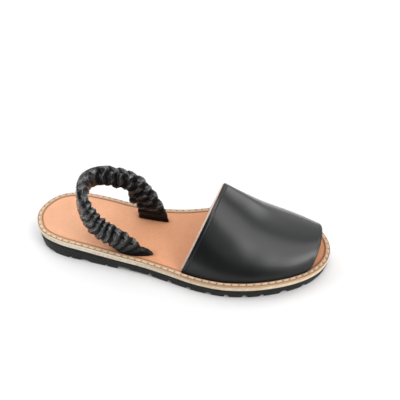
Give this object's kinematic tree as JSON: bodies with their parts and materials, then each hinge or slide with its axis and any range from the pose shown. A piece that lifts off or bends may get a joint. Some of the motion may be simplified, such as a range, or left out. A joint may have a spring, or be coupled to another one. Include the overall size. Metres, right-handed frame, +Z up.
{
  "type": "avarca sandal",
  "caption": "Flat open-toe leather sandal with a wide smooth vamp, stitched welt, tan insole, lugged rubber wedge sole and a gathered elastic back strap.",
  "frame": {"origin": "on the floor, under the middle of the shoe's bounding box", "axes": "+X from heel to toe, +Y towards the inner side of the foot, +Z up"},
  "size_m": [0.255, 0.0969, 0.0753],
  "materials": {
    "sole_rubber": "matt black moulded rubber with a fine grain",
    "edge_leather": "pale natural leather with a cut, sanded edge",
    "welt_leather": "natural leather rim, machine stitched with pale thread",
    "footbed_leather": "smooth tan leather, darker where the strap ends enter",
    "vamp_leather": "smooth black leather with a soft broad gloss and a pale lining",
    "strap_leather": "thin black leather gathered over elastic"
  },
  "bodies": {
    "root": {"outsole": "sole_rubber", "midsole": "edge_leather", "welt": "welt_leather", "insole": "footbed_leather", "vamp": "vamp_leather", "back_strap": "strap_leather"}
  },
  "joints": []
}
